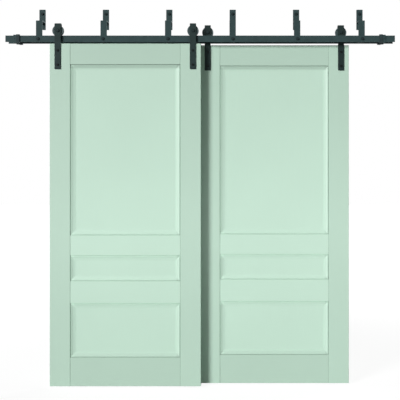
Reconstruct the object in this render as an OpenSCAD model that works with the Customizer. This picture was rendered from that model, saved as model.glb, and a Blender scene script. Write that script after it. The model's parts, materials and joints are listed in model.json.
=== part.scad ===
// Double bypass sliding door: two panelled leaves hang from grooved wheels on two flat steel
// tracks, one in front of the other. X runs along the tracks, the wall plane is y = 0, the
// viewer's side is -Y, and the origin lies on the wall midway between the two rows of lag bolts.

/* [Leaf] */
// Width of one leaf
leaf_w = 944; // [800:2:1100]
// Height of one leaf
leaf_h = 2140; // [1950:5:2400]
// Thickness of one leaf
leaf_t = 40; // [36:1:48]
// Width of the stiles
stile_w = 128; // [110:1:150]
// Height of the top rail
top_rail_h = 130; // [100:1:160]
// Height of the rail under the upper panel
upper_mid_rail_h = 127; // [90:1:160]
// Height of the opening for the middle panel
middle_opening_h = 159; // [140:1:260]
// Height of the rail over the lower panel
lower_mid_rail_h = 139; // [90:1:170]
// Height of the opening for the lower panel
lower_opening_h = 338; // [200:1:450]
// Height of the bottom rail
bottom_rail_h = 180; // [120:1:240]
// Width of the groove that takes panel tongues and stub tenons
groove_w = 12; // [10:0.5:14]
// Depth of that groove
groove_d = 12; // [8:0.5:16]
// Play of tongues and tenons on each side in the groove
tongue_fit = 0.25; // [0.1:0.05:0.5]
// Free room between tongues or tenons and the foot of the groove
tongue_room = 1; // [0.5:0.1:2]
// Chamfer on the long edges and on the shoulders of the rails
arris = 1.5; // [0.5:0.1:2.5]
// How far the front leaf laps over the back leaf when both stand closed
leaf_lap = 10; // [4:1:60]

/* [Panel] */
// Width of the quirk between frame and panel border
quirk_w = 4; // [2:0.5:7]
// Depth of that quirk below the face of the frame
quirk_d = 5; // [3.5:0.5:9]
// How far the border of the panel lies below the face of the frame
border_drop = 1.5; // [0.5:0.1:3]
// Width of the flat land along the border
land_w = 2; // [1:0.5:5]
// Width of the cove
cove_w = 27; // [18:1:34]
// Depth of the cove
cove_d = 7; // [6:0.5:9.5]
// Small step from the foot of the cove down to the field
field_step = 0.7; // [0.4:0.1:1.5]

/* [Track] */
// Length of each track
track_l = 2438; // [2350:2:2800]
// Height of the track bar
track_h = 40; // [36:1:50]
// Thickness of the track bar
track_t = 6; // [5:0.5:8]
// Distance between neighbouring fixings along the track
fixing_pitch = 406.4; // [380:0.2:420]
// Free gap between leaf top and track
leaf_gap = 12; // [8:1:20]
// Free gap between the wall and the back leaf
wall_gap = 24; // [18:1:40]
// Free gap between the back hangers and the front leaf
pass_gap = 23; // [18:1:40]

/* [Hanger] */
// Width of the hanger strap
strap_w = 38; // [32:1:45]
// Thickness of the hanger strap
strap_t = 5; // [4:0.5:6]
// Length of strap that lies on the leaf
strap_on_leaf = 160; // [130:1:220]
// Distance from the edge of the leaf to the middle of the strap
strap_inset = 50; // [35:1:70]
// Clear width inside the bent strap
hanger_gap = 28; // [26:0.5:30]
// Inner radius of the two bends
hanger_bend_r = 8; // [6:0.5:9]
// Room between the wheel and the top of the strap
wheel_headroom = 6; // [2:0.5:8]
// Length of the short rear leg below the axle
rear_leg_drop = 20; // [16:1:24]
// Upper door bolt, measured down from the leaf top
upper_bolt_drop = 43; // [30:1:60]
// Lower door bolt, measured up from the strap end
lower_bolt_rise = 28; // [18:1:40]

/* [Wheel] */
// Outer diameter of the wheel
wheel_d = 71; // [69:0.5:75]
// Diameter of the tread that rolls on the track
tread_d = 58; // [56:0.5:62]
// Width of the wheel
wheel_w = 20; // [18:0.5:22]
// Room at each side of the track in the wheel groove
groove_room = 1; // [0.6:0.1:1.5]
// How much each groove flank opens outwards
groove_flare = 1.5; // [0.5:0.1:2]
// Chamfer on the wheel rims
rim_chamfer = 1.5; // [0.5:0.1:2]
// Depth of the dished web on both sides
web_dip = 2.5; // [1:0.5:4]
// Outer radius of the hub
hub_r = 18; // [17:0.5:20]
// Inner radius of the rim
rim_r = 26; // [24.5:0.5:27]
// Rolling gap between tread and track
roll_gap = 0.2; // [0.1:0.05:0.4]
// Outer diameter of the bearing
bearing_d = 28; // [26:0.5:30]
// Width of the bearing
bearing_w = 8; // [6:0.5:10]
// Bore of the lip that the bearing seats against
lip_d = 23; // [21:0.5:25]
// Diameter of the axle bolt
axle_d = 12; // [10:0.5:13]
// Running clearance between axle and bearing, on radius
axle_fit = 0.05; // [0.02:0.01:0.1]
// Width of the ring left on each side of the bearing's shield groove
shield_land = 0.5; // [0.2:0.1:0.8]
// Depth of the bearing's shield groove
shield_dip = 0.6; // [0.3:0.1:1]
// Outer diameter of the spacer tubes beside the bearing
axle_spacer_d = 17; // [16:0.5:19]
// Play between bearing and spacer tubes on each side
spacer_play = 0.1; // [0.05:0.05:0.3]

/* [Bracket] */
// Width of the step brackets
bracket_w = 40; // [34:1:50]
// Thickness of the bracket plate
bracket_t = 5; // [4:0.5:8]
// Outer radius of the bend from arm to leg
bracket_bend_r = 9; // [7:0.5:12]
// Room between the hangers and the bracket arm above them
arm_headroom = 21; // [8:1:40]
// Room between the back hangers and the bracket leg
leg_clear = 15; // [13:1:20]
// Rise of the wall plate above the arm
plate_rise = 83; // [60:1:110]
// Reach of the wall plate below the top of the arm
plate_drop = 47; // [20:1:55]
// Distance of the lag bolt from the top of the wall plate
lag_inset = 28; // [16:1:40]
// Leg of the weld along the arm
weld_leg = 3; // [1.5:0.5:4]
// Corner radius of the plates
plate_corner_r = 3; // [1:0.5:6]

/* [Fixings] */
// Diameter of the lag bolts over their thread
lag_d = 8; // [6:0.5:9]
// How much thinner the plain body of the lag bolts is than the thread, on radius
lag_undercut = 0.5; // [0.3:0.1:0.8]
// Length of the lag bolts' point
lag_point_l = 8; // [6:0.5:12]
// Diameter of the blunt tip of that point
lag_tip_d = 1; // [0.5:0.5:2]
// Length of the lag bolts inside the wall
lag_bite = 60; // [40:1:90]
// Width across flats of lag and strap bolt heads
small_head_af = 13; // [12:0.5:14.5]
// Height of lag and strap bolt heads
small_head_h = 5.5; // [4:0.5:6]
// Diameter of the track bolts
track_bolt_d = 10; // [8:0.5:11]
// Width across flats of the track bolt heads and nuts
track_head_af = 16; // [14:0.5:17]
// Height of the track bolt heads and nuts
track_head_h = 6; // [5:0.5:6.5]
// Width across flats of axle heads and nuts
axle_head_af = 19; // [17:0.5:20]
// Height of the axle bolt heads
axle_head_h = 7; // [5:0.5:8]
// Height of the thin axle nuts
axle_nut_h = 5; // [4:0.5:6]
// Diameter of the washers
washer_d = 20; // [18:0.5:21]
// Thickness of the washers
washer_t = 1.6; // [1:0.1:2]
// Diameter of the spacer tubes behind the tracks
spacer_d = 22; // [18:0.5:24]
// Diameter of the strap bolts
strap_bolt_d = 8; // [6:0.5:9]
// Outer diameter of the sleeve nuts
sleeve_d = 11; // [10.5:0.5:13]
// Length of the sleeve inside the leaf
sleeve_l = 18; // [12:1:24]
// Diameter of the sleeve nut flange
sleeve_flange_d = 20; // [16:0.5:24]
// Thickness of the sleeve nut flange
sleeve_flange_t = 2.5; // [1.5:0.5:4]
// Length of a bolt that stands out past its nut
bolt_proud = 1.5; // [0.5:0.5:3]
// Clearance of a bolt in its hole, on diameter
hole_fit = 0.4; // [0.2:0.1:1]
// Clearance of a bolt in its nut, on diameter
thread_fit = 0.1; // [0.05:0.05:0.2]

/* [Stop] */
// Distance from the left end of the tracks to the outer face of the stops
left_stop_inset = 51; // [30:1:90]
// Distance from the right end of the tracks to the outer face of the stops
right_stop_inset = 59; // [30:1:90]
// Width of the steel collar along the track
collar_w = 18; // [16:1:30]
// Wall of the steel collar round the track
collar_wall = 4.5; // [4:0.5:6.5]
// Chamfer along the edges of the collar
collar_chamfer = 1.5; // [0.5:0.5:3]
// Width of the rubber bumper along the track
bumper_w = 20; // [10:1:24]
// Wall of the rubber bumper round the track
bumper_wall = 7; // [5:0.5:8]
// Chamfer along the edges of the bumper
bumper_chamfer = 2.5; // [1:0.5:4]
// Slip fit of collar and bumper on the track, on each side
slip_fit = 0.1; // [0.05:0.05:0.3]
// Diameter of the stop's grub screw
grub_d = 6; // [5:0.5:8]
// Width across flats of the socket in the grub screw
grub_socket_af = 3; // [2:0.5:3.5]
// Depth of that socket
grub_socket_dip = 2.5; // [1.5:0.5:3.5]

/* [Hidden] */
$fn = 64;
FRONT = 0;
BACK = 1;
LEFT = -1;
RIGHT = 1;
eps = 0.01;
fixing_count = 6;
paint = "#BED9C8";
charcoal = "#3E4C4D";
dark_steel = "#2B3536";
zinc = "#6E7A7B";
rubber = "#1D2222";

// Heights above the leaf's foot
upper_mid_foot = bottom_rail_h + lower_opening_h + lower_mid_rail_h + middle_opening_h;
upper_opening_foot = upper_mid_foot + upper_mid_rail_h;
upper_opening_h = leaf_h - top_rail_h - upper_opening_foot;
lower_mid_foot = bottom_rail_h + lower_opening_h;
middle_opening_foot = lower_mid_foot + lower_mid_rail_h;
opening_w = leaf_w - 2 * stile_w;
strap_foot = leaf_h - strap_on_leaf;
upper_bolt_z = leaf_h - upper_bolt_drop;
lower_bolt_z = strap_foot + lower_bolt_rise;
track_foot = leaf_h + leaf_gap;
track_mid = track_foot + track_h / 2;
track_top = track_foot + track_h;
axle_z = track_top + roll_gap + tread_d / 2;
hanger_top = axle_z + wheel_d / 2 + wheel_headroom + strap_t;
arm_top = hanger_top + arm_headroom + bracket_t;
plate_top = arm_top + plate_rise;
plate_foot = arm_top - plate_drop;
bracket_lag_z = plate_top - lag_inset;
leg_foot = track_foot + slip_fit;
leaf_foot_z = -(bracket_lag_z + track_mid) / 2;

// Distances out from the wall
back_face = wall_gap + leaf_t;
back_track_mid = back_face - hanger_gap / 2;
front_face = back_face + strap_t + pass_gap + leaf_t;
front_track_mid = front_face - hanger_gap / 2;
leg_back = back_face + strap_t + leg_clear;
leg_front = leg_back + bracket_t;
front_track_back = front_track_mid - track_t / 2;
front_track_front = front_track_mid + track_t / 2;
back_track_back = back_track_mid - track_t / 2;
back_track_front = back_track_mid + track_t / 2;
hanger_rear = hanger_gap + strap_t;

// Places along the track
strap_x = leaf_w / 2 - strap_inset;
fixing_xs = [for (i = [0 : fixing_count - 1]) (i - (fixing_count - 1) / 2) * fixing_pitch];

// Worked out for the panels and wheels
cove_r = (cove_w * cove_w + cove_d * cove_d) / (2 * cove_d);
tongue_d = groove_d - tongue_room;
tongue_t = groove_w - 2 * tongue_fit;
axle_spacer_l = (hanger_gap - bearing_w) / 2 - spacer_play;
air = 5;

function leaf_x(leaf) = (leaf == FRONT ? -1 : 1) * (leaf_w - leaf_lap) / 2;
function leaf_y(leaf) = leaf == FRONT ? -front_face : -back_face;
function track_y(leaf) = leaf == FRONT ? -front_track_mid : -back_track_mid;
function stop_inset(side) = side == LEFT ? left_stop_inset : right_stop_inset;
function collar_x(side) = side * (track_l / 2 - stop_inset(side) - collar_w / 2);
function bumper_x(side) = side * (track_l / 2 - stop_inset(side) - collar_w - bumper_w / 2);
function collar_front(leaf) = track_y(leaf) - track_t / 2 - slip_fit - collar_wall;

// Shared shapes
module rod_y(x, z, y_from, y_to, d) {
    translate([x, y_from, z]) rotate([-90, 0, 0]) cylinder(d = d, h = y_to - y_from);
}

module hex_y(x, z, y_from, y_to, af) {
    translate([x, y_from, z]) rotate([-90, 0, 0]) cylinder(d = af / cos(30), h = y_to - y_from, $fn = 6);
}

module tube_y(x, z, y_from, y_to, d_out, d_in) {
    difference() {
        rod_y(x, z, y_from, y_to, d_out);
        rod_y(x, z, y_from - air, y_to + air, d_in);
    }
}

// A profile drawn in Y and Z, run along X
module run_x(x_from, length) {
    translate([x_from, 0, 0]) rotate([90, 0, 90]) linear_extrude(length) children();
}

// An outline drawn in X and Z, cut through along Y
module run_y(y_from, length) {
    translate([0, y_from + length, 0]) rotate([90, 0, 0]) linear_extrude(length) children();
}

module chamfered_box_outline(u, v, c) {
    polygon([
        [c, 0], [u - c, 0], [u, c], [u, v - c],
        [u - c, v], [c, v], [0, v - c], [0, c]
    ]);
}

module rounded_outline(u, v, r) {
    translate([r, 0]) square([u - 2 * r, v]);
    translate([0, r]) square([u, v - 2 * r]);
    for (cu = [r, u - r], cv = [r, v - r]) translate([cu, cv]) circle(r);
}

// Quarter of a bent plate, centred on the bend and lying in the quadrant su, sv
module bend_quarter(r_out, thickness, su, sv) {
    intersection() {
        difference() {
            circle(r_out);
            circle(r_out - thickness);
        }
        translate([su < 0 ? -r_out : 0, sv < 0 ? -r_out : 0]) square(r_out);
    }
}

module place_leaf(leaf) {
    translate([leaf_x(leaf), leaf_y(leaf), leaf_foot_z]) children();
}

// Tracks, brackets and their fixings
module in_wall_frame() {
    translate([0, 0, leaf_foot_z]) children();
}

module track(leaf) {
    hole_d = (leaf == FRONT ? track_bolt_d : lag_d) + hole_fit;
    y_mid = track_y(leaf);
    color(charcoal) in_wall_frame() difference() {
        translate([-track_l / 2, y_mid - track_t / 2, track_foot]) cube([track_l, track_t, track_h]);
        for (x = fixing_xs) rod_y(x, track_mid, y_mid - track_t, y_mid + track_t, hole_d);
    }
}

module bracket_profile() {
    bend_y = -leg_front + bracket_bend_r;
    bend_z = arm_top - bracket_bend_r;
    translate([-bracket_t, plate_foot]) square([bracket_t, plate_top - plate_foot]);
    translate([bend_y, arm_top - bracket_t]) square([-bracket_t - bend_y, bracket_t]);
    translate([bend_y, bend_z]) bend_quarter(bracket_bend_r, bracket_t, -1, 1);
    translate([-leg_front, leg_foot]) square([bracket_t, bend_z - leg_foot]);
    polygon([
        [-bracket_t, arm_top + weld_leg], [-bracket_t - weld_leg, arm_top],
        [-bracket_t - weld_leg, arm_top - bracket_t], [-bracket_t, arm_top - bracket_t - weld_leg]
    ]);
}

module step_bracket(i) {
    x = fixing_xs[i];
    color(charcoal) in_wall_frame() difference() {
        intersection() {
            run_x(x - bracket_w / 2, bracket_w) bracket_profile();
            run_y(-leg_front - air, leg_front + 2 * air) translate([x - bracket_w / 2, leg_foot])
                rounded_outline(bracket_w, plate_top - leg_foot, plate_corner_r);
        }
        rod_y(x, bracket_lag_z, -bracket_t - air, air, lag_d + hole_fit);
        rod_y(x, track_mid, -leg_front - air, -leg_back + air, track_bolt_d + hole_fit);
    }
}

module front_track_spacers() {
    color(dark_steel) in_wall_frame() for (x = fixing_xs)
        tube_y(x, track_mid, -front_track_back, -leg_front, spacer_d, track_bolt_d + hole_fit);
}

module back_track_spacers() {
    color(dark_steel) in_wall_frame() for (x = fixing_xs)
        tube_y(x, track_mid, -back_track_back, 0, spacer_d, lag_d + hole_fit);
}

module front_track_bolts() {
    head_seat = -front_track_front - washer_t;
    color(dark_steel) in_wall_frame() for (x = fixing_xs) {
        hex_y(x, track_mid, head_seat - track_head_h, head_seat, track_head_af);
        rod_y(x, track_mid, head_seat - eps, -leg_back + track_head_h + bolt_proud, track_bolt_d);
    }
}

module front_track_nuts() {
    color(dark_steel) in_wall_frame() for (x = fixing_xs) difference() {
        hex_y(x, track_mid, -leg_back, -leg_back + track_head_h, track_head_af);
        rod_y(x, track_mid, -leg_back - air, -leg_back + track_head_h + air, track_bolt_d + thread_fit);
    }
}

// Hexagon-headed lag bolt: the head bears on a washer at head_seat, the thread starts at the wall
module lag_bolt(x, z, head_seat) {
    thread_end = lag_bite - lag_point_l;
    hex_y(x, z, head_seat - small_head_h, head_seat, small_head_af);
    rod_y(x, z, head_seat - eps, eps, lag_d - 2 * lag_undercut);
    rod_y(x, z, 0, thread_end, lag_d);
    translate([x, thread_end, z]) rotate([-90, 0, 0]) cylinder(d1 = lag_d, d2 = lag_tip_d, h = lag_point_l);
}

module bracket_lag_bolts() {
    color(dark_steel) in_wall_frame() for (x = fixing_xs)
        lag_bolt(x, bracket_lag_z, -bracket_t - washer_t);
}

module back_track_lag_bolts() {
    color(dark_steel) in_wall_frame() for (x = fixing_xs)
        lag_bolt(x, track_mid, -back_track_front - washer_t);
}

module fixing_washers() {
    color(dark_steel) in_wall_frame() for (x = fixing_xs) {
        tube_y(x, bracket_lag_z, -bracket_t - washer_t, -bracket_t, washer_d, lag_d + hole_fit);
        tube_y(x, track_mid, -back_track_front - washer_t, -back_track_front, washer_d, lag_d + hole_fit);
        tube_y(x, track_mid, -front_track_front - washer_t, -front_track_front, washer_d,
            track_bolt_d + hole_fit);
    }
}

// Sleeve round the track, with wall all round and a slip fit inside
module track_collar(x_mid, y_mid, width, wall, c) {
    slot_t = track_t + 2 * slip_fit;
    slot_h = track_h + 2 * slip_fit;
    difference() {
        run_x(x_mid - width / 2, width)
            translate([y_mid - slot_t / 2 - wall, track_mid - slot_h / 2 - wall])
                chamfered_box_outline(slot_t + 2 * wall, slot_h + 2 * wall, c);
        translate([x_mid - width / 2 - air, y_mid - slot_t / 2, track_mid - slot_h / 2])
            cube([width + 2 * air, slot_t, slot_h]);
    }
}

module track_stops(leaf) {
    color(charcoal) in_wall_frame() for (side = [LEFT, RIGHT]) difference() {
        track_collar(collar_x(side), track_y(leaf), collar_w, collar_wall, collar_chamfer);
        rod_y(collar_x(side), track_mid, collar_front(leaf) - air, track_y(leaf), grub_d + thread_fit);
    }
}

module stop_bumpers() {
    color(rubber) in_wall_frame() for (leaf = [FRONT, BACK], side = [LEFT, RIGHT])
        track_collar(bumper_x(side), track_y(leaf), bumper_w, bumper_wall, bumper_chamfer);
}

module stop_grub_screws() {
    color(dark_steel) in_wall_frame() for (leaf = [FRONT, BACK], side = [LEFT, RIGHT]) difference() {
        rod_y(collar_x(side), track_mid, collar_front(leaf), track_y(leaf) - track_t / 2, grub_d);
        hex_y(collar_x(side), track_mid, collar_front(leaf) - air, collar_front(leaf) + grub_socket_dip,
            grub_socket_af);
    }
}

// Leaf woodwork: x = 0 in the middle, y = 0 on the front face, z = 0 at the foot
module stile_profile() {
    difference() {
        translate([-leaf_w / 2, 0]) chamfered_box_outline(stile_w, leaf_t, arris);
        translate([-leaf_w / 2 + stile_w - groove_d, (leaf_t - groove_w) / 2])
            square([groove_d + air, groove_w]);
    }
}

module leaf_stile(leaf, side) {
    color(paint) place_leaf(leaf) mirror([side == RIGHT ? 1 : 0, 0, 0]) difference() {
        linear_extrude(leaf_h) stile_profile();
        for (z = [upper_bolt_z, lower_bolt_z]) {
            rod_y(-strap_x, z, -air, leaf_t + air, strap_bolt_d + hole_fit);
            rod_y(-strap_x, z, leaf_t - sleeve_l - hole_fit, leaf_t + air, sleeve_d + hole_fit);
        }
    }
}

// Cross rail with stub tenons, grooved along each edge that holds a panel
module leaf_rail(leaf, foot, height, grooved_below, grooved_above) {
    tenon_foot = foot + (grooved_below ? groove_d : 0);
    tenon_top = foot + height - (grooved_above ? groove_d : 0);
    groove_y = (leaf_t - groove_w) / 2;
    color(paint) place_leaf(leaf) union() {
        intersection() {
            run_x(-opening_w / 2, opening_w) difference() {
                translate([0, foot]) chamfered_box_outline(leaf_t, height, arris);
                if (grooved_below) translate([groove_y, foot - air]) square([groove_w, groove_d + air]);
                if (grooved_above) translate([groove_y, foot + height - groove_d])
                    square([groove_w, groove_d + air]);
            }
            translate([-opening_w / 2, 0, foot - air]) linear_extrude(height + 2 * air)
                chamfered_box_outline(opening_w, leaf_t, arris);
        }
        translate([-opening_w / 2 - tongue_d, groove_y + tongue_fit, tenon_foot])
            cube([opening_w + 2 * tongue_d, tongue_t, tenon_top - tenon_foot]);
    }
}

// Cross section of the dish cut into a panel: coved sides that run down to a flat field
module dish_profile(across) {
    half = across / 2 - land_w;
    foot = half - cove_w;
    floor_v = cove_d + field_step;
    intersection() {
        translate([-half, -air]) square([2 * half, floor_v + air]);
        union() {
            translate([-foot, -air]) square([2 * foot, floor_v + air]);
            for (s = [-1, 1]) translate([s * foot, cove_d - cove_r]) circle(cove_r, $fn = 128);
        }
    }
}

// The dish itself: two crossing runs of the profile meet in mitred corners
module dish(width, height) {
    intersection() {
        translate([0, 0, -height / 2]) linear_extrude(height) dish_profile(width);
        run_x(-width / 2, width) mirror([1, -1, 0]) dish_profile(height);
    }
}

// Sunk panel with a coved border on both faces, a shoulder in the opening and a tongue all round
module leaf_panel(leaf, foot, height) {
    border_w = opening_w - 2 * quirk_w;
    border_h = height - 2 * quirk_w;
    mid_z = foot + height / 2;
    color(paint) place_leaf(leaf) difference() {
        union() {
            translate([-opening_w / 2 - tongue_d, (leaf_t - tongue_t) / 2, foot - tongue_d])
                cube([opening_w + 2 * tongue_d, tongue_t, height + 2 * tongue_d]);
            translate([-opening_w / 2 + tongue_fit, quirk_d, foot + tongue_fit])
                cube([opening_w - 2 * tongue_fit, leaf_t - 2 * quirk_d, height - 2 * tongue_fit]);
            translate([-border_w / 2, border_drop, foot + quirk_w])
                cube([border_w, leaf_t - 2 * border_drop, border_h]);
        }
        translate([0, border_drop, mid_z]) dish(border_w, border_h);
        translate([0, leaf_t - border_drop, mid_z]) mirror([0, 1, 0]) dish(border_w, border_h);
    }
}

// Hangers, axles and wheels
module hanger_profile() {
    bend_out = hanger_bend_r + strap_t;
    rear_foot = axle_z - rear_leg_drop;
    bend_z = hanger_top - bend_out;
    translate([-strap_t, strap_foot]) square([strap_t, bend_z - strap_foot]);
    translate([hanger_bend_r, bend_z]) bend_quarter(bend_out, strap_t, -1, 1);
    translate([hanger_bend_r, hanger_top - strap_t]) square([hanger_gap - 2 * hanger_bend_r, strap_t]);
    translate([hanger_gap - hanger_bend_r, bend_z]) bend_quarter(bend_out, strap_t, 1, 1);
    translate([hanger_gap, rear_foot]) square([strap_t, bend_z - rear_foot]);
}

module hanger(leaf, side) {
    x = side * strap_x;
    color(charcoal) place_leaf(leaf) difference() {
        intersection() {
            run_x(x - strap_w / 2, strap_w) hanger_profile();
            run_y(-strap_t - air, hanger_rear + strap_t + 2 * air) translate([x - strap_w / 2, strap_foot])
                rounded_outline(strap_w, hanger_top + 2 * plate_corner_r - strap_foot, plate_corner_r);
        }
        rod_y(x, axle_z, -strap_t - air, hanger_rear + air, axle_d + hole_fit);
        for (z = [upper_bolt_z, lower_bolt_z])
            rod_y(x, z, -strap_t - air, air, strap_bolt_d + hole_fit);
    }
}

module axle_bolts(leaf) {
    color(dark_steel) place_leaf(leaf) for (side = [LEFT, RIGHT]) {
        hex_y(side * strap_x, axle_z, -strap_t - axle_head_h, -strap_t, axle_head_af);
        rod_y(side * strap_x, axle_z, -strap_t - eps, hanger_rear + axle_nut_h + bolt_proud, axle_d);
    }
}

module axle_nuts(leaf) {
    color(dark_steel) place_leaf(leaf) for (side = [LEFT, RIGHT]) difference() {
        hex_y(side * strap_x, axle_z, hanger_rear, hanger_rear + axle_nut_h, axle_head_af);
        rod_y(side * strap_x, axle_z, hanger_rear - air, hanger_rear + axle_nut_h + air,
            axle_d + thread_fit);
    }
}

module axle_spacers(leaf) {
    bore = axle_d + 2 * axle_fit;
    color(zinc) place_leaf(leaf) for (side = [LEFT, RIGHT]) {
        tube_y(side * strap_x, axle_z, 0, axle_spacer_l, axle_spacer_d, bore);
        tube_y(side * strap_x, axle_z, hanger_gap - axle_spacer_l, hanger_gap, axle_spacer_d, bore);
    }
}

module strap_bolts(leaf) {
    color(dark_steel) place_leaf(leaf) for (side = [LEFT, RIGHT], z = [upper_bolt_z, lower_bolt_z]) {
        hex_y(side * strap_x, z, -strap_t - small_head_h, -strap_t, small_head_af);
        rod_y(side * strap_x, z, -strap_t - eps, leaf_t - sleeve_flange_t, strap_bolt_d);
    }
}

module sleeve_nuts(leaf) {
    bolt_zs = [upper_bolt_z, lower_bolt_z];
    color(dark_steel) place_leaf(leaf) for (side = [LEFT, RIGHT], z = bolt_zs) difference() {
        union() {
            rod_y(side * strap_x, z, leaf_t - sleeve_l, leaf_t + eps, sleeve_d);
            rod_y(side * strap_x, z, leaf_t, leaf_t + sleeve_flange_t, sleeve_flange_d);
        }
        rod_y(side * strap_x, z, leaf_t - sleeve_l - air, leaf_t, strap_bolt_d + thread_fit);
    }
}

// Axis of one wheel, with the profile's radius across and its width along Y
module on_axle(leaf, side) {
    place_leaf(leaf) translate([side * strap_x, hanger_gap / 2, axle_z]) rotate([-90, 0, 0]) children();
}

module wheel(leaf, side) {
    r = wheel_d / 2;
    tread_r = tread_d / 2;
    half = wheel_w / 2;
    foot_half = track_t / 2 + groove_room;
    mouth_half = foot_half + groove_flare;
    color(charcoal) on_axle(leaf, side) rotate_extrude() polygon([
        [lip_d / 2, -half], [hub_r, -half], [hub_r + web_dip / 2, web_dip - half],
        [rim_r - web_dip / 2, web_dip - half], [rim_r, -half], [r - rim_chamfer, -half],
        [r, rim_chamfer - half], [r, -mouth_half], [tread_r, -foot_half],
        [tread_r, foot_half], [r, mouth_half], [r, half - rim_chamfer],
        [r - rim_chamfer, half], [rim_r, half], [rim_r - web_dip / 2, half - web_dip],
        [hub_r + web_dip / 2, half - web_dip], [hub_r, half], [bearing_d / 2, half],
        [bearing_d / 2, -bearing_w / 2], [lip_d / 2, -bearing_w / 2]
    ]);
}

// Ball bearing with a shallow shield groove in both faces
module bearing(leaf, side) {
    bore_r = axle_d / 2 + axle_fit;
    r = bearing_d / 2;
    half = bearing_w / 2;
    shield_in = axle_spacer_d / 2 + shield_land;
    shield_out = lip_d / 2 - shield_land;
    color(zinc) on_axle(leaf, side) rotate_extrude() polygon([
        [bore_r, -half], [shield_in, -half], [shield_in, shield_dip - half], [shield_out, shield_dip - half],
        [shield_out, -half], [r, -half], [r, half], [shield_out, half], [shield_out, half - shield_dip],
        [shield_in, half - shield_dip], [shield_in, half], [bore_r, half]
    ]);
}

track(FRONT);  // front_track
track(BACK);  // back_track
step_bracket(0);  // step_bracket_1
step_bracket(1);  // step_bracket_2
step_bracket(2);  // step_bracket_3
step_bracket(3);  // step_bracket_4
step_bracket(4);  // step_bracket_5
step_bracket(5);  // step_bracket_6
front_track_spacers();
back_track_spacers();
front_track_bolts();
front_track_nuts();
bracket_lag_bolts();
back_track_lag_bolts();
fixing_washers();
track_stops(FRONT);  // front_track_stops
track_stops(BACK);  // back_track_stops
stop_bumpers();
stop_grub_screws();

leaf_stile(FRONT, LEFT);  // front_leaf_left_stile
leaf_stile(FRONT, RIGHT);  // front_leaf_right_stile
leaf_rail(FRONT, leaf_h - top_rail_h, top_rail_h, true, false);  // front_leaf_top_rail
leaf_rail(FRONT, upper_mid_foot, upper_mid_rail_h, true, true);  // front_leaf_upper_mid_rail
leaf_rail(FRONT, lower_mid_foot, lower_mid_rail_h, true, true);  // front_leaf_lower_mid_rail
leaf_rail(FRONT, 0, bottom_rail_h, false, true);  // front_leaf_bottom_rail
leaf_panel(FRONT, upper_opening_foot, upper_opening_h);  // front_leaf_upper_panel
leaf_panel(FRONT, middle_opening_foot, middle_opening_h);  // front_leaf_middle_panel
leaf_panel(FRONT, bottom_rail_h, lower_opening_h);  // front_leaf_lower_panel
hanger(FRONT, LEFT);  // front_left_hanger
hanger(FRONT, RIGHT);  // front_right_hanger
axle_bolts(FRONT);  // front_axle_bolts
axle_nuts(FRONT);  // front_axle_nuts
axle_spacers(FRONT);  // front_axle_spacers
strap_bolts(FRONT);  // front_strap_bolts
sleeve_nuts(FRONT);  // front_sleeve_nuts
wheel(FRONT, LEFT);  // front_left_wheel
wheel(FRONT, RIGHT);  // front_right_wheel
bearing(FRONT, LEFT);  // front_left_bearing
bearing(FRONT, RIGHT);  // front_right_bearing

leaf_stile(BACK, LEFT);  // back_leaf_left_stile
leaf_stile(BACK, RIGHT);  // back_leaf_right_stile
leaf_rail(BACK, leaf_h - top_rail_h, top_rail_h, true, false);  // back_leaf_top_rail
leaf_rail(BACK, upper_mid_foot, upper_mid_rail_h, true, true);  // back_leaf_upper_mid_rail
leaf_rail(BACK, lower_mid_foot, lower_mid_rail_h, true, true);  // back_leaf_lower_mid_rail
leaf_rail(BACK, 0, bottom_rail_h, false, true);  // back_leaf_bottom_rail
leaf_panel(BACK, upper_opening_foot, upper_opening_h);  // back_leaf_upper_panel
leaf_panel(BACK, middle_opening_foot, middle_opening_h);  // back_leaf_middle_panel
leaf_panel(BACK, bottom_rail_h, lower_opening_h);  // back_leaf_lower_panel
hanger(BACK, LEFT);  // back_left_hanger
hanger(BACK, RIGHT);  // back_right_hanger
axle_bolts(BACK);  // back_axle_bolts
axle_nuts(BACK);  // back_axle_nuts
axle_spacers(BACK);  // back_axle_spacers
strap_bolts(BACK);  // back_strap_bolts
sleeve_nuts(BACK);  // back_sleeve_nuts
wheel(BACK, LEFT);  // back_left_wheel
wheel(BACK, RIGHT);  // back_right_wheel
bearing(BACK, LEFT);  // back_left_bearing
bearing(BACK, RIGHT);  // back_right_bearing
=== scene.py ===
import json
import math

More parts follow.
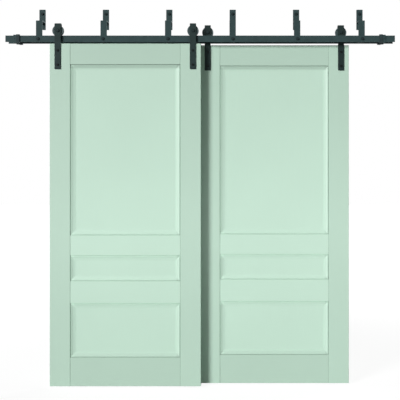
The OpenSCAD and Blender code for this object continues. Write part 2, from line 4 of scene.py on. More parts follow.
import bpy
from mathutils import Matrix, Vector


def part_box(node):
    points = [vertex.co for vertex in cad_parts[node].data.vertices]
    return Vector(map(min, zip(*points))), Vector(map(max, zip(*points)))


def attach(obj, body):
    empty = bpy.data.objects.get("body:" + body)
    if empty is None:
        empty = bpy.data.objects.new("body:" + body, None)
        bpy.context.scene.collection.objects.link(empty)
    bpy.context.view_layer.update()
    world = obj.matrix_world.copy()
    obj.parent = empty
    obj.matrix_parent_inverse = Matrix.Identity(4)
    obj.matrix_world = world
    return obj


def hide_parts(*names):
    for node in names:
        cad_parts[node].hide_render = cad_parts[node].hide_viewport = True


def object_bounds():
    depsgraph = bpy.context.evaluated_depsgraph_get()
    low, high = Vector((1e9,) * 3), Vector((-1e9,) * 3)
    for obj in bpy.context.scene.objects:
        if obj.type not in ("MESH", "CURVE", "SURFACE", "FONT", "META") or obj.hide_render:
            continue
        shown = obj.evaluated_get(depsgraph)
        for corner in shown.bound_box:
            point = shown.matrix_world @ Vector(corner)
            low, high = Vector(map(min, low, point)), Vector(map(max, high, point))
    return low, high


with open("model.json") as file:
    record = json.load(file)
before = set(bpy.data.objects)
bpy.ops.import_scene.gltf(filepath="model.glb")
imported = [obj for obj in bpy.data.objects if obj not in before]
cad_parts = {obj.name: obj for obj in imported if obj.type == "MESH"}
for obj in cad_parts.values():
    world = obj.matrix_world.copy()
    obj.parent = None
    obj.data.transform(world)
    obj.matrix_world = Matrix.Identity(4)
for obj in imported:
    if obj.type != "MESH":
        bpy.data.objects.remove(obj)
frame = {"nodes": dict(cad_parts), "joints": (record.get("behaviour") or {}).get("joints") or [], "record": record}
cad_low, cad_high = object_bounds()

scene = bpy.context.scene
nodes = frame["nodes"]
mounts = {mount["name"]: mount for mount in frame["record"]["mounts"]}
joints = {joint["name"]: joint for joint in frame["joints"]}


# Node graphs


class Signal:
    """One output of a node graph. Arithmetic on it adds Math nodes."""

    def __init__(self, graph, socket):
        self.graph = graph
        self.socket = socket

    def math(self, operation, *terms):
        return self.graph.node("ShaderNodeMath", {"operation": operation}, dict(enumerate(terms)))

    def __add__(self, other):
        return self.math("ADD", self, other)

    def __radd__(self, other):
        return self.math("ADD", other, self)

    def __sub__(self, other):
        return self.math("SUBTRACT", self, other)

    def __rsub__(self, other):
        return self.math("SUBTRACT", other, self)

    def __mul__(self, other):
        return self.math("MULTIPLY", self, other)

    def __rmul__(self, other):
        return self.math("MULTIPLY", other, self)

    def __truediv__(self, other):
        return self.math("DIVIDE", self, other)

    def __rtruediv__(self, other):
        return self.math("DIVIDE", other, self)

    def absolute(self):
        return self.math("ABSOLUTE", self)

    def root(self):
        return self.math("POWER", self, 0.5)

    def least(self, other):
        return self.math("MINIMUM", self, other)

    def most(self, other):
        return self.math("MAXIMUM", self, other)

    def mixed(self, other, share):
        """This signal with that share of the other in it."""
        return self * (1 - share) + other * share

    def ramp(self, low, high):
        """0 below low, 1 above high, smooth in between."""
        settings = {"interpolation_type": "SMOOTHSTEP"}
        sockets = {"Value": self, "From Min": low, "From Max": high}
        return self.graph.node("ShaderNodeMapRange", settings, sockets)


class Graph:
    """A material's, world's or Geometry Nodes tree."""

    def __init__(self, tree):
        self.tree = tree

    def node(self, kind, settings=None, sockets=None, out=0):
        made = self.tree.nodes.new(kind)
        for key, value in (settings or {}).items():
            setattr(made, key, value)
        for key, value in (sockets or {}).items():
            for item in value if isinstance(value, list) else [value]:
                if isinstance(item, Signal):
                    self.tree.links.new(item.socket, made.inputs[key])
                else:
                    made.inputs[key].default_value = item
        return Signal(self, made.outputs[out])

    def blend(self, factor, low, high):
        """Colour between low and high."""
        return self.node("ShaderNodeMix", {"data_type": "RGBA"}, {0: factor, 6: low, 7: high}, 2)

    def axes(self, vector):
        split = self.tree.nodes.new("ShaderNodeSeparateXYZ")
        self.tree.links.new(vector.socket, split.inputs[0])
        return [Signal(self, output) for output in split.outputs]

    def vector(self, x, y, z):
        return self.node("ShaderNodeCombineXYZ", None, {0: x, 1: y, 2: z})

    def output(self, kind, socket, result):
        self.tree.links.new(result.socket, self.tree.nodes.new(kind).inputs[socket])


def linear(red, green, blue):
    """A colour as a screen shows it, 0 to 255, for a colour socket."""
    parts = [value / 255 for value in (red, green, blue)]
    return (*[p / 12.92 if p <= 0.04045 else ((p + 0.055) / 1.055) ** 2.4 for p in parts], 1.0)


def toned(colour, tone):
    return (*[part * tone for part in colour[:3]], 1.0)


def grey(level):
    return (level, level, level, 1.0)


def socket_name(key):
    return key.replace("_", " ").title().replace("Ior", "IOR")


class Finish(Graph):
    """A surface: one Principled shader whose constants are set on its own sockets."""

    def __init__(self, name, **constants):
        self.material = bpy.data.materials.new(name)
        self.material.use_nodes = True
        super().__init__(self.material.node_tree)
        self.shader = self.tree.nodes["Principled BSDF"]
        for key, value in constants.items():
            self.shader.inputs[socket_name(key)].default_value = value

    def place(self, centre=(0, 0, 0), scale=(1, 1, 1)):
        """Object coordinates, seen from centre and stretched by scale."""
        coords = self.node("ShaderNodeTexCoord", None, None, "Object")
        shift = tuple(-c * s for c, s in zip(centre, scale))
        sockets = {"Vector": coords, "Location": shift, "Scale": scale}
        return self.node("ShaderNodeMapping", None, sockets)

    def noise(self, place, scale, detail=2.0, roughness=0.5):
        sockets = {"Vector": place, "Scale": scale, "Detail": detail, "Roughness": roughness}
        return self.node("ShaderNodeTexNoise", {"noise_dimensions": "3D"}, sockets)

    def edges(self, width):
        """1 along the edges of the solid, 0 on its flats."""
        rounded = self.node("ShaderNodeBevel", {"samples": 6}, {"Radius": width})
        flat = self.node("ShaderNodeNewGeometry", None, None, "Normal")
        sockets = {0: rounded, 1: flat}
        agree = self.node("ShaderNodeVectorMath", {"operation": "DOT_PRODUCT"}, sockets, "Value")
        return (1 - agree).ramp(0.01, 0.2)

    def wear(self, **signals):
        """Links signals to the shader's sockets."""
        for key, signal in signals.items():
            self.tree.links.new(signal.socket, self.shader.inputs[socket_name(key)])

    def relief(self, height, depth):
        """Bump of that depth in metres."""
        sockets = {"Strength": 1.0, "Distance": depth, "Height": height}
        self.wear(normal=self.node("ShaderNodeBump", None, sockets))


# Sizes, in metres. What the frame knows is read from it.

SIDES = ("front", "back")
MM_PER_M = 1000
WALL_LAGS = [mounts["wall_lags_" + row]["dims"] for row in ("outer", "middle", "inner")]
FIXING_XS = sorted(
    sign * dims["spacing_x_mm"] / 2 / MM_PER_M for dims in WALL_LAGS for sign in (-1, 1)
)
LAG_Z = WALL_LAGS[0]["spacing_y_mm"] / 2 / MM_PER_M
LAG_R = WALL_LAGS[0]["stud_r_mm"] / MM_PER_M

WHEELS = [side + end for side in SIDES for end in ("_left", "_right")]
AXLES = {wheel: Vector(joints[wheel + "_wheel_spin"]["pos_m"]) for wheel in WHEELS}
TREAD_R = 0.029
TREAD_HALF = 0.0042

track_low, track_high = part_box("front_track")
TRACK_Z = (track_low.z + track_high.z) / 2
front_low, front_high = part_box("front_leaf_left_stile")
LEAF_MID_Z = (front_low.z + front_high.z) / 2

bracket_low, bracket_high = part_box("step_bracket_1")
BRACKET_W = bracket_high.x - bracket_low.x
PLATE_T = 0.005
ARM_DROP = 0.083
ARM_TOP = bracket_high.z - ARM_DROP
ARM_FOOT = ARM_TOP - PLATE_T

LEFT_EDGES = [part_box(side + "_leaf_left_stile")[1].x for side in SIDES]
RIGHT_EDGES = [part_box(side + "_leaf_right_stile")[0].x for side in SIDES]
MID_RAILS = ("front_leaf_upper_mid_rail", "front_leaf_lower_mid_rail")
UNDER_MID_RAILS = [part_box(rail)[0].z for rail in MID_RAILS]
OVER_MID_RAILS = [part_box(rail)[1].z for rail in MID_RAILS]
TOP_RAIL_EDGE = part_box("front_leaf_top_rail")[0].z
BOTTOM_RAIL_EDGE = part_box("front_leaf_bottom_rail")[1].z
JOINT_HALF = 0.0017
QUIRK_W = 0.0042
COVE_W = 0.028


# Finishes

SAGE = linear(198, 227, 209)
CHARCOAL = linear(52, 70, 71)
HANGER_BLACK = linear(39, 53, 52)
BLACKENED = linear(8, 13, 14)
BLACK_PHOSPHATE = linear(30, 43, 45)
BARE_STEEL = linear(176, 178, 178)
DULL_ZINC = linear(120, 126, 126)
BRIGHT_ZINC = linear(156, 160, 160)
RUBBER = linear(32, 46, 48)
BLACK, WHITE = grey(0.0), grey(1.0)

X_AXIS, Z_AXIS = 0, 2
LIGHTEST_TONE = 1.25
PATCHINESS = 0.03
# Share of a painted shade or highlight band's half width that has its full tone.
PAINTED_BAND_CORE = 0.7
EDGE_WEAR_AND_SHEEN_WIDTH = 0.0011


def nearest(signal, values):
    """How far the signal is from the nearest of the values."""
    gap = None
    for value in values:
        off = (signal - value).absolute()
        gap = off if gap is None else gap.least(off)
    return gap


def leaf_paint(name, grain, tone, painted_light_bands=()):
    """Satin paint rolled on wood: broad cloudiness, roller stipple and grain telegraphing through.
    Along the joints, quirks and coves it paints shade and highlight, given as axis, places, half width and tone."""
    finish = Finish(name, specular_ior_level=0.4)
    place = finish.place()
    across, along = 260.0, 7.0
    stretch = tuple(along if axis == grain else across for axis in range(3))
    fibres = finish.noise(finish.place(scale=stretch), scale=1.0, detail=4.0, roughness=0.6)
    stipple = finish.noise(place, scale=480.0)
    clouds = finish.noise(place, scale=2.6, detail=3.0)
    patches = clouds.mixed(fibres, 0.4).ramp(0.25, 0.75)
    level = tone / LIGHTEST_TONE * (1 - PATCHINESS / 2 + patches * PATCHINESS)
    axes = finish.axes(place)
    # Painted shade and painted highlight: each band darkens or lightens the paint by its tone.
    for axis, places, half, painted_band_tone in painted_light_bands:
        painted_band = 1 - nearest(axes[axis], places).ramp(half * PAINTED_BAND_CORE, half)
        level = level * (1 - painted_band * (1 - painted_band_tone))
    finish.wear(
        base_color=finish.blend(level, BLACK, toned(SAGE, LIGHTEST_TONE)),
        roughness=0.40 + clouds * 0.10 + stipple * 0.06,
    )
    finish.relief(stipple.mixed(fibres, 0.5), depth=0.00012)
    return finish.material


def powder_coat(name, colour):
    """Baked powder on steel: fine orange peel, soft mottling, and lighter edges, from a thinner rubbed coat and a
    painted edge highlight.
    """
    finish = Finish(name, specular_ior_level=0.12)
    place = finish.place()
    peel = finish.noise(place, scale=620.0, detail=3.0)
    speck = finish.noise(place, scale=2600.0, detail=1.0)
    clouds = finish.noise(place, scale=24.0, detail=3.0)
    mottling = clouds.mixed(speck, 0.4).ramp(0.3, 0.7)
    chafing = finish.noise(place, scale=70.0, detail=4.0, roughness=0.6).ramp(0.32, 0.62)
    # Lighter along the edges and in corners: a thinner rubbed coat there, with a painted edge highlight.
    rubbed = finish.edges(EDGE_WEAR_AND_SHEEN_WIDTH) * chafing
    coat = finish.blend(mottling, toned(colour, 0.86), toned(colour, 1.14))
    finish.wear(
        base_color=finish.blend(rubbed, coat, toned(colour, 2.1)),
        roughness=0.46 + peel * 0.14 + clouds * 0.08 - rubbed * 0.1,
    )
    finish.relief(peel.mixed(speck, 0.3), depth=0.0003)
    return finish.material


def black_oxide(name, colour):
    """Blackened fasteners: oily sheen, and a little bare metal where tools and threads rub."""
    finish = Finish(name, specular_ior_level=0.12)
    mottle = finish.noise(finish.place(), scale=160.0, detail=4.0, roughness=0.6)
    scratch = finish.noise(finish.place(scale=(2200, 300, 2200)), scale=1.0)
    rubbed = mottle.mixed(scratch, 0.3).ramp(0.58, 0.72)
    finish.wear(
        base_color=finish.blend(rubbed, colour, toned(colour, 1.8)),
        roughness=0.42 + mottle * 0.16,
        metallic=rubbed * 0.5,
    )
    finish.relief(scratch.mixed(mottle, 0.6), depth=0.00008)
    return finish.material


def wheel_finish(name, axle):
    """Coated wheel, polished bare on the tread and the groove flanks by running on the track."""
    ragged, fade = 0.0006, 0.0008
    inside, tread_foot, tread_lip, outside = [
        TREAD_R + step for step in (-0.0015, -0.0008, 0.0015, 0.003)
    ]
    finish = Finish(name, specular_ior_level=0.4)
    x, y, z = finish.axes(finish.place(axle))
    radius = (x * x + z * z).root()
    turning = finish.noise(finish.vector(radius, y, 0.0), scale=2400.0)
    mottle = finish.noise(finish.place(), scale=260.0, detail=3.0)
    groove = 1 - (y.absolute() - mottle * ragged).ramp(TREAD_HALF, TREAD_HALF + fade)
    steel = groove * (1 - radius.ramp(tread_lip, outside)) * radius.ramp(inside, tread_foot)
    finish.wear(
        base_color=finish.blend(steel, CHARCOAL, BARE_STEEL),
        metallic=steel,
        roughness=0.44 + mottle * 0.12 - steel * 0.18 + turning * 0.05,
    )
    finish.relief(turning.mixed(mottle, 0.4), depth=0.00006)
    return finish.material


def bearing_finish(name, axle):
    """Ground bearing rings round a dark pressed shield."""
    inner_ring, shield_from, shield_to, outer_ring = 0.0088, 0.0091, 0.0109, 0.0112
    finish = Finish(name, metallic=1.0)
    x, _, z = finish.axes(finish.place(axle))
    radius = (x * x + z * z).root()
    turning = finish.noise(finish.vector(radius, 0.0, 0.0), scale=5200.0)
    shield = radius.ramp(inner_ring, shield_from) * (1 - radius.ramp(shield_to, outer_ring))
    finish.wear(
        base_color=finish.blend(shield, BARE_STEEL, toned(BARE_STEEL, 0.35)),
        roughness=0.22 + turning * 0.14 + shield * 0.2,
    )
    finish.relief(turning, depth=0.00003)
    return finish.material


def zinc_finish(name):
    """Dull zinc plating with a fine drawn grain."""
    finish = Finish(name, metallic=0.9)
    mottle = finish.noise(finish.place(), scale=320.0, detail=4.0)
    drawn = finish.noise(finish.place(scale=(4000, 120, 4000)), scale=1.0)
    finish.wear(
        base_color=finish.blend(mottle, DULL_ZINC, BRIGHT_ZINC),
        roughness=0.34 + drawn * 0.12 + mottle * 0.08,
    )
    finish.relief(drawn, depth=0.00004)
    return finish.material


def moulded_rubber(name):
    """Moulded rubber: matt skin with a fine grain and a faint bloom."""
    finish = Finish(name, specular_ior_level=0.3)
    grain = finish.noise(finish.place(), scale=900.0, detail=3.0)
    bloom = finish.noise(finish.place(), scale=60.0).ramp(0.45, 0.75)
    finish.wear(
        base_color=finish.blend(bloom, RUBBER, toned(RUBBER, 1.4)),
        roughness=0.68 + grain * 0.16,
    )
    finish.relief(grain, depth=0.0002)
    return finish.material


# Finishes on the CAD nodes


def dress(material, *names):
    for name in names:
        nodes[name].data.materials.clear()
        nodes[name].data.materials.append(material)


# Painted shade: the rail ends are darkened where they butt against the stiles, in place of the shadow in a joint
# gap.
rail_joint_painted_shade = [(X_AXIS, LEFT_EDGES + RIGHT_EDGES, JOINT_HALF, 0.5)]
# Painted light round each panel: painted highlight on the left coves and on the top coves of the middle and lower
# panels, painted shade on the right coves, the bottom coves and the top cove of the upper panel, and painted
# shadow lines in all quirks, darkest under the top rail.
panel_painted_light = [
    (X_AXIS, LEFT_EDGES, COVE_W, 1.08),
    (X_AXIS, LEFT_EDGES, QUIRK_W, 0.68),
    (X_AXIS, RIGHT_EDGES, COVE_W, 0.91),
    (X_AXIS, RIGHT_EDGES, QUIRK_W, 0.62),
    (Z_AXIS, UNDER_MID_RAILS, COVE_W, 1.05),
    (Z_AXIS, UNDER_MID_RAILS, QUIRK_W, 0.88),
    (Z_AXIS, OVER_MID_RAILS, QUIRK_W, 0.8),
    (Z_AXIS, [BOTTOM_RAIL_EDGE], COVE_W, 0.92),
    (Z_AXIS, [BOTTOM_RAIL_EDGE], QUIRK_W, 0.65),
    (Z_AXIS, [TOP_RAIL_EDGE], COVE_W, 0.85),
    (Z_AXIS, [TOP_RAIL_EDGE], QUIRK_W, 0.5),
]
# Painted shade: the stiles are painted darker than the mid rails, standing in for the duller sheen they show.
stile_shaded_paint = leaf_paint("stile_shaded_paint", grain=Z_AXIS, tone=0.895)
panel_paint = leaf_paint("panel_paint", grain=Z_AXIS, tone=1.0, painted_light_bands=panel_painted_light)
rail_paint = leaf_paint("rail_paint", grain=X_AXIS, tone=1.005, painted_light_bands=rail_joint_painted_shade)
# Painted shade: the top and bottom rails are painted darker than the mid rails, as less light falls at the top and
# bottom of the leaf.
top_rail_shaded_paint = leaf_paint("top_rail_shaded_paint", grain=X_AXIS, tone=0.85, painted_light_bands=rail_joint_painted_shade)
bottom_rail_shaded_paint = leaf_paint("bottom_rail_shaded_paint", grain=X_AXIS, tone=0.85, painted_light_bands=rail_joint_painted_shade)
track_coat = powder_coat("track_coat", CHARCOAL)
# Painted shade: the back hangers get a darker copy of the hanger coat, for the shade of the front leaf and track
# on them.
hanger_coats = {
    "front": powder_coat("front_hanger_coat", HANGER_BLACK),
    "back": powder_coat("back_hanger_shaded_coat", toned(HANGER_BLACK, 0.78)),
}
blackened = black_oxide("blackened_fasteners", BLACKENED)
phosphated = black_oxide("phosphated_fasteners", BLACK_PHOSPHATE)

for side in SIDES:
    leaf = side + "_leaf"
    dress(stile_shaded_paint, leaf + "_left_stile", leaf + "_right_stile")
    dress(panel_paint, leaf + "_upper_panel", leaf + "_middle_panel", leaf + "_lower_panel")
    dress(rail_paint, leaf + "_upper_mid_rail", leaf + "_lower_mid_rail")
    dress(top_rail_shaded_paint, leaf + "_top_rail")
    dress(bottom_rail_shaded_paint, leaf + "_bottom_rail")
    dress(hanger_coats[side], side + "_left_hanger", side + "_right_hanger")
    dress(track_coat, side + "_track", side + "_track_stops", side + "_track_spacers")
for number in range(1, len(FIXING_XS) + 1):
    dress(track_coat, f"step_bracket_{number}")
dress(phosphated, "fixing_washers", "stop_grub_screws")
dress(blackened, "front_sleeve_nuts", "back_sleeve_nuts")
dress(zinc_finish("spacer_zinc"), "front_axle_spacers", "back_axle_spacers")
dress(moulded_rubber("bumper_rubber"), "stop_bumpers")
for wheel, axle in AXLES.items():
    dress(wheel_finish(wheel + "_wheel_finish", axle), wheel + "_wheel")
    dress(bearing_finish(wheel + "_bearing_finish", axle), wheel + "_bearing")


# Shapes of the fixings, in Geometry Nodes. Each stands on z = 0 and runs up along z.

WASHER_FACE_T = 0.0004
WASHER_FACE_SHARE = 0.47
CORNER_SHARE = 0.475
CORNER_SLOPE = 1.73
BOLT_TIP = 0.001
BORE_PLAY = 0.00005
BORE_PAST = 0.001
LAG_BODY_PLAY = 0.0005
LAG_ROOT_SHARE = 0.36
LAG_RIDGE_SHARE = 0.14
LAG_POINT_R = 0.0004
RUN_OUT_END_R = 0.0006
RUN_OUT_LENGTH_SHARE = 0.9
RUN_OUT_RIDGE_SHARE = 0.8
BEAD_RIPPLES = 15


def hexagon(graph, flats, height, both_ends):
    """Hexagon with its corners turned to a cone at the top or at both ends."""
    sockets = {"Vertices": 48, "Side Segments": 10, "Radius": 1.0, "Depth": 1.0}
    blank = graph.node("GeometryNodeMeshCylinder", {"fill_type": "NGON"}, sockets)
    x, y, z = graph.axes(graph.node("GeometryNodeInputPosition"))
    # From 0 at the foot to 1 at the top, with the rings crowded towards both ends.
    level = z + 0.5
    level = level * level * (3 - 2 * level)
    turn = y.math("ARCTAN2", y, x) + math.pi
    corner = turn.math("MODULO", turn, math.pi / 3) - math.pi / 6
    flat_r = (flats * 0.5) / corner.math("COSINE", corner)
    from_end = (1 - level) * height
    if both_ends:
        from_end = from_end.least(level * height)
    radius = flat_r.least(flats * CORNER_SHARE + from_end * CORNER_SLOPE)
    moved = graph.vector(x * radius, y * radius, level * height)
    return graph.node("GeometryNodeSetPosition", None, {"Geometry": blank, "Position": moved})


def frustum(graph, foot_r, top_r, height, foot=0.0):
    sockets = {"Vertices": 32, "Radius Bottom": foot_r, "Radius Top": top_r, "Depth": height}
    cone = graph.node("GeometryNodeMeshCone", {"fill_type": "NGON"}, sockets)
    return raised(graph, cone, foot)


def raised(graph, shape, height):
    sockets = {"Geometry": shape, "Translation": graph.vector(0.0, 0.0, height)}
    return graph.node("GeometryNodeTransform", None, sockets)


def rotated(graph, shape, rotation):
    sockets = {"Geometry": shape, "Rotation": rotation}
    return graph.node("GeometryNodeTransform", None, sockets)


def joined(graph, *shapes):
    return graph.node("GeometryNodeJoinGeometry", None, {"Geometry": list(shapes)})


def head(graph, size):
    """Bolt head that hangs below z = 0, crown down, on a thin washer face."""
    flats = size["Across Flats"]
    crown = hexagon(graph, flats, size["Head Height"] - WASHER_FACE_T, False)
    crown = raised(graph, rotated(graph, crown, (math.pi, 0, 0)), -WASHER_FACE_T)
    face_r = flats * WASHER_FACE_SHARE
    return joined(graph, crown, frustum(graph, face_r, face_r, WASHER_FACE_T, -WASHER_FACE_T))


def bolt(graph, size):
    radius = size["Diameter"] * 0.5
    plain = size["Length"] - BOLT_TIP
    shank = frustum(graph, radius, radius, plain)
    tip = frustum(graph, radius, radius - BOLT_TIP, BOLT_TIP, plain)
    return joined(graph, head(graph, size), shank, tip)


def nut(graph, size):
    blank = hexagon(graph, size["Across Flats"], size["Head Height"], True)
    bore_r = size["Diameter"] * 0.5 + BORE_PLAY
    bore = frustum(graph, bore_r, bore_r, size["Head Height"] + 2 * BORE_PAST, -BORE_PAST)
    sockets = {"Mesh 1": blank, "Mesh 2": bore}
    return graph.node("GeometryNodeMeshBoolean", {"operation": "DIFFERENCE"}, sockets)


def ridge(graph, turns, foot_r, top_r, height, thick):
    """One helical thread ridge."""
    sockets = {
        "Resolution": 20,
        "Rotations": turns,
        "Start Radius": foot_r,
        "End Radius": top_r,
        "Height": height,
    }
    path = graph.node("GeometryNodeCurveSpiral", None, sockets)
    sockets = {"Resolution": 4, "Radius": thick}
    section = graph.node("GeometryNodeCurvePrimitiveCircle", None, sockets)
    sockets = {"Curve": path, "Profile Curve": section, "Fill Caps": True}
    return graph.node("GeometryNodeCurveToMesh", None, sockets)


def lag(graph, size):
    """Lag bolt: plain body, then a coarse wood thread that runs out on the point."""
    point, pitch = size["Point"], size["Pitch"]
    body_r = size["Diameter"] * 0.5 - LAG_BODY_PLAY
    root_r = size["Diameter"] * LAG_ROOT_SHARE
    thick = size["Diameter"] * LAG_RIDGE_SHARE
    start = size["Body"]
    length = size["Length"] - start - point
    body = frustum(graph, body_r, body_r, start)
    root = frustum(graph, root_r, root_r, length, start)
    tip = frustum(graph, root_r, LAG_POINT_R, point, start + length)
    thread = ridge(graph, length / pitch, root_r, root_r, length, thick)
    reach, thin = point * RUN_OUT_LENGTH_SHARE, thick * RUN_OUT_RIDGE_SHARE
    run_out = ridge(graph, point / pitch, root_r, RUN_OUT_END_R, reach, thin)
    thread = raised(graph, thread, start)
    run_out = raised(graph, run_out, start + length)
    return joined(graph, head(graph, size), body, root, tip, thread, run_out)


def weld_bead(graph, size):
    """One line of overlapping weld ripples."""
    sockets = {"Segments": 12, "Rings": 8, "Radius": size["Bead"]}
    ripple = graph.node("GeometryNodeMeshUVSphere", None, sockets)
    step = size["Run"] / (BEAD_RIPPLES - 1)
    sockets = {"Count": BEAD_RIPPLES, "Offset": graph.vector(0.0, 0.0, step)}
    line = graph.node("GeometryNodeMeshLine", None, sockets)
    return graph.node("GeometryNodeInstanceOnPoints", None, {"Points": line, "Instance": ripple})


def fixing_tree(name, shape, labels, finish, turn):
    """Geometry Nodes tree that sets the shape, turned to its axis, on every point it is given."""
    tree = bpy.data.node_groups.new(name, "GeometryNodeTree")
    tree.interface.new_socket("Geometry", in_out="INPUT", socket_type="NodeSocketGeometry")
    for label in labels:
        tree.interface.new_socket(label, in_out="INPUT", socket_type="NodeSocketFloat")
    tree.interface.new_socket("Geometry", in_out="OUTPUT", socket_type="NodeSocketGeometry")
    graph = Graph(tree)
    given = tree.nodes.new("NodeGroupInput")
    one = shape(graph, {label: Signal(graph, given.outputs[label]) for label in labels})
    sockets = {
        "Points": Signal(graph, given.outputs["Geometry"]),
        "Instance": rotated(graph, one, turn),
    }
    placed = graph.node("GeometryNodeInstanceOnPoints", None, sockets)
    real = graph.node("GeometryNodeRealizeInstances", None, {"Geometry": placed})
    sockets = {"Geometry": real, "Material": finish}
    done = graph.node("GeometryNodeSetMaterial", None, sockets)
    graph.output("NodeGroupOutput", "Geometry", done)
    return tree


ALONG_Y = (-math.pi / 2, 0, 0)
ALONG_X = (0, math.pi / 2, 0)


def grow(name, shape, points, sizes, finish, body, slot, *replaced, turn=ALONG_Y):
    """A plain mesh of the shape on every point, riding on the body in place of replaced nodes."""
    tree = fixing_tree(name, shape, list(sizes), finish, turn)
    mesh = bpy.data.meshes.new(name + "_points")
    mesh.from_pydata(points, [], [])
    piece = bpy.data.objects.new(name, mesh)
    scene.collection.objects.link(piece)
    modifier = piece.modifiers.new("fixings", "NODES")
    modifier.node_group = tree
    for item in tree.interface.items_tree:
        if item.in_out == "INPUT" and item.name in sizes:
            modifier[item.identifier] = sizes[item.name]
    evaluated = piece.evaluated_get(bpy.context.evaluated_depsgraph_get())
    grown = bpy.data.meshes.new_from_object(evaluated)
    piece.modifiers.clear()
    piece.data = grown
    grown.name = name
    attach(piece, body)
    if replaced:
        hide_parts(*replaced)


# Fixings

SMALL_HEAD = {"Across Flats": 0.013, "Head Height": 0.0055}
TRACK_HEAD = {"Across Flats": 0.016, "Head Height": 0.006}
AXLE_HEAD = {"Across Flats": 0.019, "Head Height": 0.007}
LAG_SIZES = {"Diameter": 2 * LAG_R, "Point": 0.008, "Pitch": 0.0036}
STRAP_BOLT_D = 0.008
TRACK_BOLT_D = 0.010
AXLE_BOLT_D = 0.012
BEAD_R = 0.0021
BEAD_OUT = 0.0012
BEAD_INSET = 0.003


def seat(node, head_size):
    """Where the heads of a node of bolts bear: one head behind the node's front."""
    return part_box(node)[0].y + head_size["Head Height"]


def bolts(name, node, head_size, diameter, places, body, finish):
    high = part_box(node)[1]
    bearing_y = seat(node, head_size)
    sizes = {**head_size, "Diameter": diameter, "Length": high.y - bearing_y}
    points = [(x, bearing_y, z) for x, z in places]
    grow(name, bolt, points, sizes, finish, body, "fasteners", node)


def lags(name, node, z):
    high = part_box(node)[1]
    bearing_y = seat(node, SMALL_HEAD)
    sizes = {**SMALL_HEAD, **LAG_SIZES, "Body": -bearing_y, "Length": high.y - bearing_y}
    points = [(x, bearing_y, z) for x in FIXING_XS]
    grow(name, lag, points, sizes, phosphated, "frame", "fasteners", node)


def nuts(name, node, head_size, diameter, places, body):
    low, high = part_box(node)
    sizes = {**head_size, "Head Height": high.y - low.y, "Diameter": diameter}
    points = [(x, low.y, z) for x, z in places]
    grow(name, nut, points, sizes, phosphated, body, "fasteners", node)


lags("bracket_lags", "bracket_lag_bolts", LAG_Z)
lags("back_track_lags", "back_track_lag_bolts", -LAG_Z)
track_fit = (TRACK_HEAD, TRACK_BOLT_D, [(x, TRACK_Z) for x in FIXING_XS], "frame")
bolts("track_bolts", "front_track_bolts", *track_fit, phosphated)
nuts("track_nuts", "front_track_nuts", *track_fit)
for side in SIDES:
    leaf = side + "_leaf"
    ends = [AXLES[side + "_left"], AXLES[side + "_right"]]
    axle_fit = (AXLE_HEAD, AXLE_BOLT_D, [(axle.x, axle.z) for axle in ends], leaf)
    bolts(side + "_axles", side + "_axle_bolts", *axle_fit, phosphated)
    nuts(side + "_axle_locknuts", side + "_axle_nuts", *axle_fit)
    strap_low, strap_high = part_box(side + "_strap_bolts")
    half = SMALL_HEAD["Across Flats"] / 2
    strap_zs = (strap_low.z + half, strap_high.z - half)
    strap_places = [(axle.x, z) for axle in ends for z in strap_zs]
    strap_fit = (SMALL_HEAD, STRAP_BOLT_D, strap_places, leaf)
    bolts(side + "_door_bolts", side + "_strap_bolts", *strap_fit, blackened)

bead_places = [
    (x - BRACKET_W / 2 + BEAD_INSET, -PLATE_T - BEAD_OUT, z)
    for x in FIXING_XS
    for z in (ARM_TOP + BEAD_OUT, ARM_FOOT - BEAD_OUT)
]
bead_sizes = {"Bead": BEAD_R, "Run": BRACKET_W - 2 * BEAD_INSET}
bead_fit = (track_coat, "frame", "black_steel")
grow("bracket_welds", weld_bead, bead_places, bead_sizes, *bead_fit, turn=ALONG_X)


# Floor, light and camera

AMBIENT = 0.005
FLOOR_HALF = 20.0
FLOOR_GAP = 0.012
FLOOR_GREY = 0.5
SHADED_GREY = 0.19
NEAR_WHITE = 0.9
NEAR_TO, FAR_FROM = 1.2, 4.0


def studio_graph(owner):
    """The emptied graph of a world or material, and a signal in it: 1 for the rays that look at
    the surroundings, 0 for those that light the object."""
    owner.use_nodes = True
    owner.node_tree.nodes.clear()
    graph = Graph(owner.node_tree)
    rays = owner.node_tree.nodes.new("ShaderNodeLightPath")
    camera_ray = Signal(graph, rays.outputs["Is Camera Ray"])
    glossy_ray = Signal(graph, rays.outputs["Is Glossy Ray"])
    clear_ray = Signal(graph, rays.outputs["Is Transmission Ray"])
    return graph, camera_ray.most(glossy_ray).most(clear_ray)


world = bpy.data.worlds.new("studio")
graph, looked_at = studio_graph(world)
ambient = graph.node("ShaderNodeBackground", None, {"Color": WHITE, "Strength": AMBIENT})
white = graph.node("ShaderNodeBackground", None, {"Color": WHITE, "Strength": 1.0})
around = graph.node("ShaderNodeMixShader", None, {0: looked_at, 1: ambient, 2: white})
graph.output("ShaderNodeOutputWorld", "Surface", around)
scene.world = world

floor_finish = bpy.data.materials.new("studio_floor")
graph, looked_at = studio_graph(floor_finish)
shaded = graph.blend(looked_at, grey(FLOOR_GREY), grey(SHADED_GREY))
matt = graph.node("ShaderNodeBsdfDiffuse", None, {"Color": shaded})
x, y, _ = graph.axes(graph.node("ShaderNodeTexCoord", None, None, "Object"))
away = (x * x + y * y).root().ramp(NEAR_TO, FAR_FROM)
pale = graph.blend(looked_at * (NEAR_WHITE + away * (1 - NEAR_WHITE)), BLACK, WHITE)
white = graph.node("ShaderNodeEmission", None, {"Color": pale, "Strength": 1.0})
both = graph.node("ShaderNodeAddShader", None, {0: matt, 1: white})
graph.output("ShaderNodeOutputMaterial", "Surface", both)

floor_mesh = bpy.data.meshes.new("studio_floor")
floor_z = cad_low.z - FLOOR_GAP
corners = [
    (x * FLOOR_HALF, y * FLOOR_HALF, floor_z) for x, y in ((-1, -1), (1, -1), (1, 1), (-1, 1))
]
floor_mesh.from_pydata(corners, [], [(0, 1, 2, 3)])
floor_mesh.materials.append(floor_finish)
floor = bpy.data.objects.new("studio_floor", floor_mesh)
scene.collection.objects.link(floor)


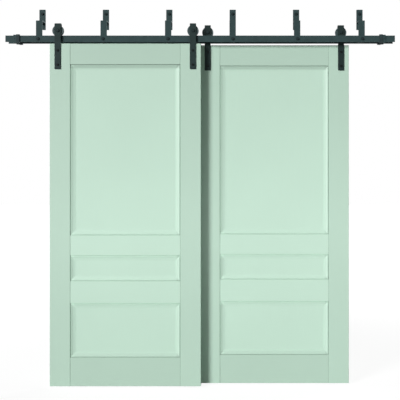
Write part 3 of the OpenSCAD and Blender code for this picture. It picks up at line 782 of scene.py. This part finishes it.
def softbox(name, place, aim, width, height, watts, spread=180):
    lamp = bpy.data.lights.new(name, "AREA")
    lamp.shape = "RECTANGLE"
    lamp.size = width
    lamp.size_y = height
    lamp.energy = watts
    lamp.spread = math.radians(spread)
    holder = bpy.data.objects.new(name, lamp)
    holder.location = place
    holder.rotation_mode = "QUATERNION"
    holder.rotation_quaternion = (Vector(aim) - Vector(place)).to_track_quat("-Z", "Y")
    holder.visible_camera = False
    scene.collection.objects.link(holder)


def distant_lamp(name, azimuth, elevation, strength, breadth):
    """A broad lamp so far off, to the left of the front, that it lights the whole width alike."""
    lamp = bpy.data.lights.new(name, "SUN")
    lamp.energy = strength
    lamp.angle = math.radians(breadth)
    holder = bpy.data.objects.new(name, lamp)
    holder.rotation_euler = (math.radians(90 - elevation), 0, -math.radians(azimuth))
    scene.collection.objects.link(holder)


distant_lamp("key_left", azimuth=40, elevation=15, strength=3.25, breadth=20)
strip_z = LEAF_MID_Z - 0.1
softbox(
    "front_strip", place=(0, -1.5, strip_z), aim=(0, 0, strip_z),
    width=6.0, height=0.35, watts=2.3, spread=90,
)
softbox(
    "fill_right", place=(3.0, -1.9, LEAF_MID_Z), aim=(0, -0.1, LEAF_MID_Z),
    width=0.6, height=1.6, watts=3.0,
)
softbox(
    "key_back", place=(14.0, 12.5, 0.4), aim=(0, 0, -1.1),
    width=8.0, height=4.0, watts=4300,
)

PHOTO_SIDE = 400
METRES_PER_PIXEL = 0.0062435
EYE_DISTANCE = 4.75
EYE_PIXEL = (236, 162)
LEAF_EDGE_PIXEL = 49.67
LEAF_FOOT_PIXEL = 386.3

camera = bpy.data.cameras.new("photo_camera")
camera.sensor_width = 36.0
camera.lens = camera.sensor_width * EYE_DISTANCE / (PHOTO_SIDE * METRES_PER_PIXEL)
camera.shift_x = (PHOTO_SIDE / 2 - EYE_PIXEL[0]) / PHOTO_SIDE
camera.shift_y = (EYE_PIXEL[1] - PHOTO_SIDE / 2) / PHOTO_SIDE
camera.clip_end = 200.0
eye = bpy.data.objects.new("photo_camera", camera)
eye.location = (
    front_low.x + (EYE_PIXEL[0] - LEAF_EDGE_PIXEL) * METRES_PER_PIXEL,
    front_low.y - EYE_DISTANCE,
    front_low.z + (LEAF_FOOT_PIXEL - EYE_PIXEL[1]) * METRES_PER_PIXEL,
)
eye.rotation_euler = (math.pi / 2, 0, 0)
scene.collection.objects.link(eye)
scene.camera = eye
scene.view_settings.view_transform = "Standard"
